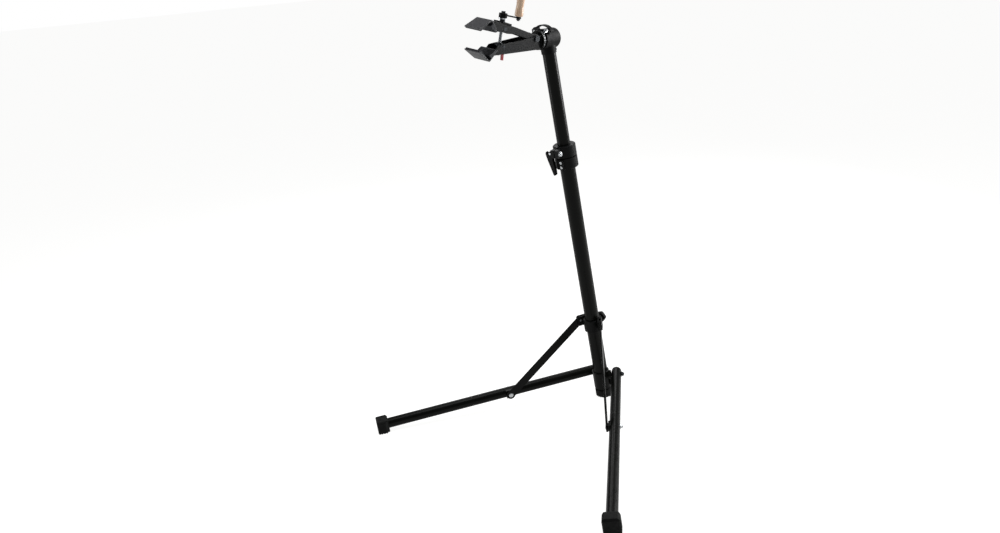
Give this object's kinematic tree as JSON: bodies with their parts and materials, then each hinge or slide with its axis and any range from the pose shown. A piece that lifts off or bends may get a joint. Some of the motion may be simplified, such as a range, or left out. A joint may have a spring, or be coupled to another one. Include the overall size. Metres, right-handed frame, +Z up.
{
  "type": "bicycle repair stand",
  "caption": "Folding bicycle work stand with a leaning telescopic mast, two braced folding legs and a turning screw clamp with padded jaws.",
  "frame": {"origin": "where the mast's axis meets the floor, on the flat underside of the mast's rubber foot", "axes": "+Z up from the floor, -Y forward, the way the clamp and the legs point, +X to the stand's right"},
  "size_m": [0.9446, 0.6546, 1.3097],
  "materials": {
    "black_tube": "satin powder coat",
    "arm_steel": "satin powder coat on sheet steel",
    "jaw_steel": "grey powder coat",
    "black_casting": "fine textured paint on cast aluminium",
    "black_plastic": "moulded nylon, lightly grained",
    "grey_plastic": "acetal",
    "white_plastic": "acetal",
    "black_rubber": "matte moulded rubber",
    "zinc": "bright zinc plate",
    "steel": "turned steel",
    "dark_steel": "black oxide",
    "red_plastic": "dipped vinyl",
    "wood": "oiled turned beech"
  },
  "bodies": {
    "lower_mast": {"lower_tube": "black_tube", "mast_foot": "black_rubber", "hub_bracket": "black_tube", "leg_pivot_bolts": "dark_steel", "lock_body": "black_plastic", "lock_screws": "zinc", "tube_bush": "grey_plastic", "lock_skewer": "zinc", "lock_nut": "zinc"},
    "height_lever": {"lock_lever": "black_plastic"},
    "upper_mast": {"upper_tube": "black_tube", "tube_glide": "grey_plastic", "head_housing": "black_casting", "neck_screws": "dark_steel", "spindle_bushes": "white_plastic", "rear_cap": "black_plastic", "head_skewer": "zinc", "head_nut": "zinc"},
    "turn_lever": {"head_lever": "black_plastic"},
    "head": {"spindle": "steel", "spindle_nut": "zinc", "lock_ring": "zinc", "head_flange": "black_tube", "lower_arm": "arm_steel", "lower_jaw_plate": "jaw_steel", "lower_jaw_pads": "black_rubber", "arm_pivot_bolt": "dark_steel", "arm_pivot_nut": "zinc"},
    "upper_arm": {"upper_arm": "arm_steel", "upper_jaw_plate": "jaw_steel", "upper_jaw_pads": "black_rubber", "saddle_plate": "arm_steel"},
    "screw_nut": {"nut_block": "dark_steel"},
    "release": {"release_lever": "red_plastic"},
    "screw_swivel": {"swivel_block": "dark_steel", "thrust_washer": "zinc"},
    "screw": {"clamp_screw": "steel", "crank_hub": "black_plastic", "crank_arm": "arm_steel", "handle_pin": "dark_steel"},
    "grip": {"handle": "wood"},
    "slider": {"slide_collar": "black_plastic", "slide_pins": "steel"},
    "knob": {"star_knob": "black_plastic"},
    "left_leg": {"left_leg_tube": "black_tube", "left_leg_plug": "black_plastic", "left_leg_foot": "black_rubber", "left_brace_saddle": "black_tube", "left_brace_bolt": "zinc"},
    "left_brace": {"left_brace": "black_tube", "left_brace_head": "zinc"},
    "right_leg": {"right_leg_tube": "black_tube", "right_leg_plug": "black_plastic", "right_leg_foot": "black_rubber", "right_brace_saddle": "black_tube", "right_brace_bolt": "zinc"},
    "right_brace": {"right_brace": "black_tube", "right_brace_head": "zinc"}
  },
  "joints": [
    {"name": "right_leg_fold", "type": "hinge", "parent": "lower_mast", "child": "right_leg", "pos_m": [0.04071, 0.01731, 0.07413], "axis": [-0.829, -0.5538, -0.0778], "range_deg": [0, 84.14]},
    {"name": "left_leg_fold", "type": "hinge", "parent": "lower_mast", "child": "left_leg", "pos_m": [-0.04071, 0.01731, 0.07413], "axis": [-0.829, 0.5538, 0.0778], "range_deg": [0, 84.15]},
    {"name": "slider_travel", "type": "slide", "parent": "lower_mast", "child": "slider", "axis": [0, -0.1392, 0.9903], "range_m": [0, 0.42441]},
    {"name": "right_brace_swing", "type": "hinge", "parent": "slider", "child": "right_brace", "pos_m": [0.03953, -0.05079, 0.27561], "axis": [0.829, 0.5538, 0.0778], "range_deg": [0, 56.53]},
    {"name": "left_brace_swing", "type": "hinge", "parent": "slider", "child": "left_brace", "pos_m": [-0.03953, -0.05079, 0.27561], "axis": [0.829, -0.5538, -0.0778], "range_deg": [0, 56.53]},
    {"name": "knob_turn", "type": "hinge", "parent": "slider", "child": "knob", "pos_m": [0, 0.00685, 0.27463], "axis": [0, 0.9903, 0.1392], "continuous": true},
    {"name": "mast_height", "type": "slide", "parent": "lower_mast", "child": "upper_mast", "axis": [0, -0.1392, 0.9903], "range_m": [-0.24, 0.28]},
    {"name": "height_lever_turn", "type": "hinge", "parent": "lower_mast", "child": "height_lever", "pos_m": [-0.0199, -0.15907, 0.83721], "axis": [0, 0.9903, 0.1392], "range_deg": [0, 85]},
    {"name": "head_turn", "type": "hinge", "parent": "upper_mast", "child": "head", "pos_m": [0, -0.16283, 1.15861], "axis": [0, -1, 0], "continuous": true},
    {"name": "turn_lever_turn", "type": "hinge", "parent": "upper_mast", "child": "turn_lever", "pos_m": [-0.0199, -0.18483, 1.18111], "axis": [0, -1, 0], "range_deg": [0, 75]},
    {"name": "arm_open", "type": "hinge", "parent": "head", "child": "upper_arm", "pos_m": [0.00181, -0.22683, 1.16794], "axis": [-0.9816, 0, 0.1908], "range_deg": [-10, 6]},
    {"name": "nut_tilt", "type": "hinge", "parent": "head", "child": "screw_nut", "pos_m": [0.0006, -0.35668, 1.1617], "axis": [-0.9816, 0, 0.1908], "range_deg": [-5, 3]},
    {"name": "screw_tilt", "type": "hinge", "parent": "upper_arm", "child": "screw_swivel", "pos_m": [0.00902, -0.35122, 1.20504], "axis": [-0.9816, 0, 0.1908], "range_deg": [-3, 5]},
    {"name": "release_press", "type": "hinge", "parent": "screw_nut", "child": "release", "pos_m": [-0.00072, -0.34141, 1.15491], "axis": [-0.9816, 0, 0.1908], "range_deg": [-12, 0], "stiffness_Nm_per_rad": 0.4},
    {"name": "crank_turn", "type": "hinge", "parent": "screw_swivel", "child": "screw", "pos_m": [0.00902, -0.35122, 1.20504], "axis": [0.1894, 0.1227, 0.9742], "continuous": true},
    {"name": "grip_spin", "type": "hinge", "parent": "screw", "child": "grip", "pos_m": [0.06575, -0.34754, 1.22434], "axis": [0.1894, 0.1227, 0.9742], "continuous": true}
  ],
  "couplings": [
    {"joint": "left_leg_fold", "follows": "right_leg_fold", "ratio": 1},
    {"joint": "slider_travel", "follows": "right_leg_fold", "m_per_rad": 0.28899},
    {"joint": "right_brace_swing", "follows": "right_leg_fold", "ratio": 0.67177},
    {"joint": "left_brace_swing", "follows": "right_leg_fold", "ratio": 0.67177},
    {"joint": "nut_tilt", "follows": "arm_open", "ratio": 0.5},
    {"joint": "screw_tilt", "follows": "arm_open", "ratio": -0.5}
  ]
}
